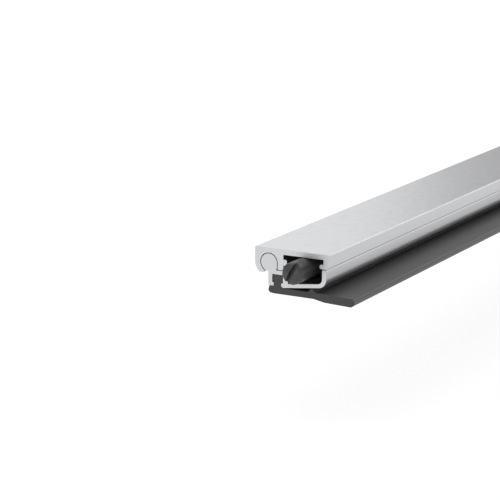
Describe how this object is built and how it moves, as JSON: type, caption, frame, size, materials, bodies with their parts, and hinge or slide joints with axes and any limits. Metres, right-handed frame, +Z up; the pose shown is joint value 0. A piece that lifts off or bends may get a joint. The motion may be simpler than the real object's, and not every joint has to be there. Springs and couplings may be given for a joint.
{
  "type": "automatic door bottom seal",
  "caption": "Hinged aluminium door bottom seal whose rubber blade swings down when the end plunger is pressed against the door frame.",
  "frame": {"origin": "centre of the case's flat top face, which is fixed to the door", "axes": "+X across the seal from its ball joint towards the blade's tip, +Y along its length away from the plunger, +Z up out of the top face"},
  "size_m": [0.0455, 0.4408, 0.0201],
  "materials": {
    "case_aluminium": "brushed natural anodised top face, plain extruded sides and sawn ends",
    "carrier_aluminium": "plain natural anodised extrusion",
    "cassette_aluminium": "plain mill extrusion",
    "plunger_nylon": "turned black nylon",
    "guide_nylon": "moulded black nylon",
    "link_nylon": "moulded dark grey nylon",
    "blade_rubber": "dark grey extruded rubber",
    "zinc_steel": "bright zinc-plated steel",
    "spring_steel": "drawn spring wire"
  },
  "bodies": {
    "case": {"case_profile": "case_aluminium", "cassette_channel": "cassette_aluminium", "cassette_grub_screws": "zinc_steel", "front_guide_block": "guide_nylon", "rear_guide_block": "guide_nylon", "guide_pins": "zinc_steel", "front_fixed_pin": "zinc_steel", "rear_fixed_pin": "zinc_steel", "front_spring_pin": "zinc_steel", "rear_spring_pin": "zinc_steel", "front_return_spring": "spring_steel", "rear_return_spring": "spring_steel"},
    "carrier": {"carrier_profile": "carrier_aluminium", "seal_blade": "blade_rubber", "front_spring_anchor": "zinc_steel", "rear_spring_anchor": "zinc_steel"},
    "push_rod": {"push_bar": "zinc_steel", "adjusting_stud": "zinc_steel", "lock_nut": "zinc_steel", "front_bar_pin": "zinc_steel", "rear_bar_pin": "zinc_steel"},
    "plunger_head": {"plunger": "plunger_nylon"},
    "front_drive": {"front_drive_link": "link_nylon"},
    "front_knee": {"front_knee_link": "link_nylon", "front_knee_pin": "zinc_steel"},
    "rear_drive": {"rear_drive_link": "link_nylon"},
    "rear_knee": {"rear_knee_link": "link_nylon", "rear_knee_pin": "zinc_steel"}
  },
  "joints": [
    {"name": "carrier_swing", "type": "hinge", "parent": "case", "child": "carrier", "pos_m": [-0.0105, 0, -0.0061], "axis": [0, 1, 0], "range_deg": [0, 25.7], "stiffness_Nm_per_rad": 0.35, "springref_deg": -34.38, "deforming": ["front_return_spring", "rear_return_spring"]},
    {"name": "plunger_press", "type": "slide", "parent": "case", "child": "push_rod", "axis": [0, 1, 0], "range_m": [0, 0.007]},
    {"name": "plunger_adjust", "type": "hinge", "parent": "push_rod", "child": "plunger_head", "pos_m": [0.00523, -0.195, -0.00698], "axis": [0, 1, 0], "continuous": true},
    {"name": "front_drive_pivot", "type": "hinge", "parent": "push_rod", "child": "front_drive", "pos_m": [0.00523, -0.13262, -0.0074], "axis": [-1, 0, 0], "range_deg": [0, 30.36]},
    {"name": "front_knee_pivot", "type": "hinge", "parent": "case", "child": "front_knee", "pos_m": [0.00523, -0.103, -0.0074], "axis": [1, 0, 0], "range_deg": [0, 30.36]},
    {"name": "rear_drive_pivot", "type": "hinge", "parent": "push_rod", "child": "rear_drive", "pos_m": [0.00523, -0.01262, -0.0074], "axis": [-1, 0, 0], "range_deg": [0, 30.36]},
    {"name": "rear_knee_pivot", "type": "hinge", "parent": "case", "child": "rear_knee", "pos_m": [0.00523, 0.017, -0.0074], "axis": [1, 0, 0], "range_deg": [0, 30.36]}
  ],
  "couplings": [
    {"joint": "plunger_press", "follows": "carrier_swing", "m_per_rad": 0.015606},
    {"joint": "front_drive_pivot", "follows": "carrier_swing", "ratio": 1.1812},
    {"joint": "front_knee_pivot", "follows": "carrier_swing", "ratio": 1.1812},
    {"joint": "rear_drive_pivot", "follows": "carrier_swing", "ratio": 1.1812},
    {"joint": "rear_knee_pivot", "follows": "carrier_swing", "ratio": 1.1812}
  ]
}
